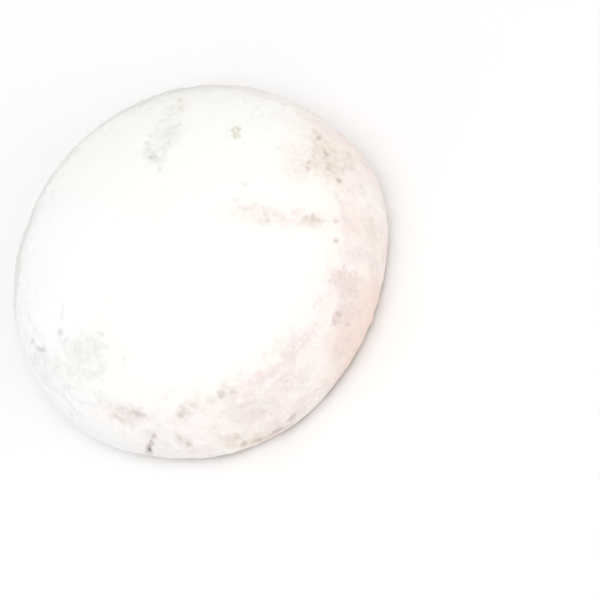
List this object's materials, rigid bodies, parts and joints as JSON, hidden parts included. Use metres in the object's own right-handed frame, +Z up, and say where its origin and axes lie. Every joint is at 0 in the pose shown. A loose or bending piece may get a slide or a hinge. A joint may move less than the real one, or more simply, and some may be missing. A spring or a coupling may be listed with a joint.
{
  "type": "snowball cookie",
  "caption": "Round, low-domed short-dough cookie with a rounded shoulder and a flat base, rolled in powdered sugar that has worn thin in places.",
  "frame": {"origin": "middle of the flat base, under the middle of the plan outline, on the surface that the cookie stands on", "axes": "+Z up out of the domed top, -Y towards the side that faces the viewer"},
  "size_m": [0.045, 0.0454, 0.0145],
  "materials": {
    "sugar_coat": "matte",
    "baked_crumb": "matte"
  },
  "bodies": {
    "root": {"cookie": "sugar_coat"}
  },
  "joints": []
}
